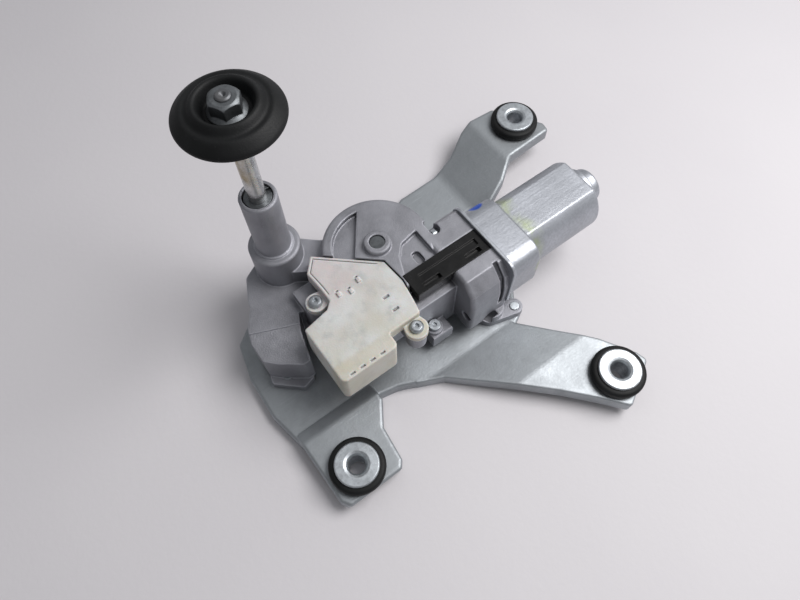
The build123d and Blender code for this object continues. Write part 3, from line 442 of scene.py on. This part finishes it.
dress(zinc_sheet(), "bracket", "cover_plate")
dress(die_cast(), "gear_housing")
dress(drawn_steel(), "motor_can")
dress(greased_shaft(), "output_shaft")
dress(module_plastic(), "module_body")
dress(black_rubber, "rubber_seal", "grommet_left", "grommet_right", "grommet_rear")

# steels: a dark grey, a light grey, how rough
dress(machined_steel("screw_steel", 0.42, 0.62, 0.36),
      "cover_screws", "bracket_screws", "can_screws", "module_screws", "ground_screw")
dress(machined_steel("bright_steel", 0.55, 0.75, 0.28),
      "thrust_washer", "crank_pin", "armature_shaft", "sector_pin", "link_plate", "brush_springs")
dress(machined_steel("collar_steel", 0.46, 0.66, 0.42), "collar_left", "collar_right", "collar_rear")
dress(machined_steel("nut_steel", 0.16, 0.26, 0.50), "shaft_nut")
# This steel is kept dark as painted shade for the recess in the tower's mouth, where the washer and
# circlip sit; the axle pin shares it
dress(machined_steel("dark_steel", 0.12, 0.24, 0.46), "shaft_circlip", "tower_washer", "axle_pin")
dress(machined_steel("sintered_steel", 0.22, 0.32, 0.50, turned=False), "pinion", "sector_arm")
dress(machined_steel("lamination_steel", 0.20, 0.34, 0.48, turned=False), "armature_core")

# coloured metals and plastics: a dark colour, a light colour, how rough
dress(coloured_metal("brass", (0.50, 0.33, 0.10, 1.0), (0.72, 0.52, 0.20, 1.0), 0.32),
      "contact_disc", "contact_fingers", "connector_terminals")
dress(coloured_metal("sintered_bronze", (0.36, 0.20, 0.08, 1.0), (0.52, 0.32, 0.14, 1.0), 0.48),
      "upper_bush", "lower_bush", "can_bush", "worm_bush", "middle_bush")
dress(coloured_metal("copper", (0.52, 0.20, 0.10, 1.0), (0.80, 0.38, 0.22, 1.0), 0.34), "commutator")
dress(coloured_metal("enamelled_wire", (0.38, 0.11, 0.04, 1.0), (0.58, 0.20, 0.08, 1.0), 0.30),
      "windings")
dress(plain_plastic("black_plastic", grey(0.004), grey(0.011), 0.24), "brush_holder", "thrust_piece")
dress(plain_plastic("natural_nylon", (0.62, 0.60, 0.50, 1.0), (0.74, 0.72, 0.62, 1.0), 0.42),
      "worm_wheel")
dress(plain_plastic("phenolic_board", (0.14, 0.07, 0.03, 1.0), (0.22, 0.12, 0.05, 1.0), 0.50),
      "contact_board")
dress(plain_plastic("ferrite", grey(0.030), grey(0.060), 0.60), "magnet_left", "magnet_right")
dress(plain_plastic("carbon", grey(0.018), grey(0.035), 0.55), "brush_left", "brush_right")


# ---------------------------------------------------------------- moulded rubber
def add_object(name, bm, material):
    mesh = bpy.data.meshes.new(name)
    bm.to_mesh(mesh)
    bm.free()
    mesh.materials.append(material)
    thing = bpy.data.objects.new(name, mesh)
    bpy.context.scene.collection.objects.link(thing)
    return thing


def lathe(name, profile, centre, segments):
    """Smoothed rubber ring, turned about an upright axis from a closed (radius, height) profile."""
    bm = bmesh.new()
    rings = []
    for i in range(segments):
        a = 2 * math.pi * i / segments
        rings.append([
            bm.verts.new((centre.x + radius * math.cos(a), centre.y + radius * math.sin(a), height))
            for radius, height in profile
        ])
    for i in range(segments):
        here, after = rings[i], rings[(i + 1) % segments]
        for j in range(len(profile)):
            k = (j + 1) % len(profile)
            bm.faces.new((here[j], after[j], after[k], here[k]))
    bmesh.ops.recalc_face_normals(bm, faces=bm.faces)
    thing = add_object(name, bm, black_rubber)
    thing.data.polygons.foreach_set("use_smooth", [True] * len(thing.data.polygons))
    smooth = thing.modifiers.new("smooth", "SUBSURF")
    smooth.levels = smooth.render_levels = 2
    return thing


def seal():
    """Domed seal: an outer skirt, a soft shoulder, a lip and a deep bowl round the nut."""
    low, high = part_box("rubber_seal")
    # drawn in millimetres from the shaft's axis and the seal's foot, then fitted to its box
    profile = [
        (4.1, 0.2), (4.1, 6.4),  # the bore
        (5.2, 6.55), (8.3, 6.5), (9.1, 6.9), (9.9, 9.4),  # the bowl's floor and side
        (10.6, 11.4), (11.5, 12.0), (12.4, 11.9), (13.4, 10.9),  # the lip
        (14.3, 9.7), (15.2, 9.3), (16.2, 9.5), (17.1, 9.3),  # the dip and the shoulder
        (18.3, 8.4), (20.2, 6.7), (21.1, 5.7),  # the skirt
        (21.25, 4.7), (20.9, 3.8), (20.0, 3.6),  # its rounded rim
        (14.2, 4.6), (9.0, 3.2),  # the hollow underside
        (7.6, 1.6), (7.2, 0.3), (6.8, 0.05), (4.5, 0.05),  # the foot
    ]
    wide = (high.x - low.x) / 2 / max(radius for radius, _ in profile)
    tall = (high.z - low.z) / max(height for _, height in profile)
    fitted = [(radius * wide, low.z + height * tall) for radius, height in profile]
    ring = lathe("seal_skin", fitted, (low + high) / 2, segments=72)
    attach(ring, "output")
    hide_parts("rubber_seal")


def grommet(side):
    """Rubber grommet: a fat upper bead, the groove that grips the sheet, and a lower bead."""
    node = "grommet_" + side
    low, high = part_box(node)
    # radii, from the outside in
    outer = (high.x - low.x) / 2
    lower = outer - 1.62 * mm
    groove = outer - 4.65 * mm
    bore = outer - 7.75 * mm
    # heights, from the top down
    top = high.z
    seat = low.z + 6.65 * mm
    under = low.z + 4.55 * mm
    foot = low.z
    flat = 0.02 * mm  # how far the bead's flat faces stand in from the box
    profile = [
        (bore, foot + 0.3 * mm),
        (bore, top - 0.3 * mm),
        (bore + 0.4 * mm, top - flat),
        # the upper bead
        (outer - 3.4 * mm, top - flat),
        (outer - 1.5 * mm, top - 0.05 * mm),
        (outer - 0.3 * mm, top - 0.8 * mm),
        (outer, top - 1.9 * mm),
        (outer, seat + 1.5 * mm),
        (outer - 0.5 * mm, seat + 0.3 * mm),
        (outer - 1.4 * mm, seat),
        # the groove
        (groove + 0.4 * mm, seat),
        (groove, seat - 0.2 * mm),
        (groove, under + 0.2 * mm),
        (groove + 0.4 * mm, under),
        # the lower bead
        (lower - 0.6 * mm, under),
        (lower, under - 0.7 * mm),
        (lower, foot + 1.2 * mm),
        (lower - 0.5 * mm, foot + 0.25 * mm),
        (lower - 1.5 * mm, foot + flat),
        (bore + 0.4 * mm, foot + flat),
    ]
    ring = lathe("grommet_skin_" + side, profile, (low + high) / 2, segments=64)
    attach(ring, "frame")
    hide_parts(node)


seal()
for side in ("left", "right", "rear"):
    grommet(side)


# ---------------------------------------------------------------- floor, light and camera
FLOOR_HALF_WIDTH = 8.0

# the room is dim towards -X and bright towards +X, and blends between these two values of X
ROOM_TINT = (0.96, 0.97, 1.0, 1.0)
ROOM_FROM, ROOM_TO = -0.6, 0.9
ROOM_DIM, ROOM_BRIGHT = 0.26, 0.54

WINDOW_PLACE = (0.36, -0.16, 0.66)
WINDOW_TARGET = (0.02, 0.0, 0.02)
WINDOW_SIZE, WINDOW_WATTS = 0.52, 5.2
WINDOW_TINT = (1.0, 0.985, 0.98)

CAMERA_PLACE = (-0.11341, -0.10072, 0.316)
CAMERA_LENS, CAMERA_SENSOR = 28.8, 36.0  # millimetres
CAMERA_NEAR, CAMERA_FAR = 0.01, 20.0
CAMERA_RIGHT = Vector((0.80384, -0.59481, -0.00699))
CAMERA_AHEAD = Vector((0.26099, 0.36321, -0.89441))


def floor():
    bm = bmesh.new()
    bmesh.ops.create_grid(bm, x_segments=24, y_segments=24, size=FLOOR_HALF_WIDTH)
    add_object("floor", bm, pale_backdrop())


def room():
    """Soft light from all round, brighter from the +X side."""
    world = bpy.data.worlds.new("soft_room")
    world.use_nodes = True
    tree = world.node_tree
    around = tree.nodes.new("ShaderNodeTexCoord")
    split = tree.nodes.new("ShaderNodeSeparateXYZ")
    shade = tree.nodes.new("ShaderNodeMapRange")
    shade.inputs["From Min"].default_value = ROOM_FROM
    shade.inputs["From Max"].default_value = ROOM_TO
    shade.inputs["To Min"].default_value = ROOM_DIM
    shade.inputs["To Max"].default_value = ROOM_BRIGHT
    background = tree.nodes["Background"]
    tree.links.new(around.outputs["Generated"], split.inputs[0])
    tree.links.new(split.outputs["X"], shade.inputs["Value"])
    tree.links.new(shade.outputs[0], background.inputs["Strength"])
    background.inputs["Color"].default_value = ROOM_TINT
    bpy.context.scene.world = world


def window():
    """One big soft lamp, as through a window."""
    light = bpy.data.lights.new("window", "AREA")
    light.shape = "DISK"
    light.size = WINDOW_SIZE
    light.energy = WINDOW_WATTS
    light.color = WINDOW_TINT
    thing = bpy.data.objects.new("window", light)
    thing.location = WINDOW_PLACE
    aim = Vector(WINDOW_TARGET) - Vector(WINDOW_PLACE)
    thing.rotation_euler = aim.to_track_quat("-Z", "Y").to_euler()
    bpy.context.scene.collection.objects.link(thing)


def camera():
    """Stands where the photograph was taken from, and looks the same way."""
    data = bpy.data.cameras.new("camera")
    data.lens = CAMERA_LENS
    data.sensor_width = CAMERA_SENSOR
    data.clip_start = CAMERA_NEAR
    data.clip_end = CAMERA_FAR
    thing = bpy.data.objects.new("camera", data)
    bpy.context.scene.collection.objects.link(thing)
    up = CAMERA_RIGHT.cross(CAMERA_AHEAD)
    turn = Matrix((CAMERA_RIGHT, up, -CAMERA_AHEAD)).transposed()
    thing.matrix_world = Matrix.Translation(CAMERA_PLACE) @ turn.to_4x4()
    bpy.context.scene.camera = thing


floor()
room()
window()
camera()
bpy.context.scene.view_settings.view_transform = "Standard"
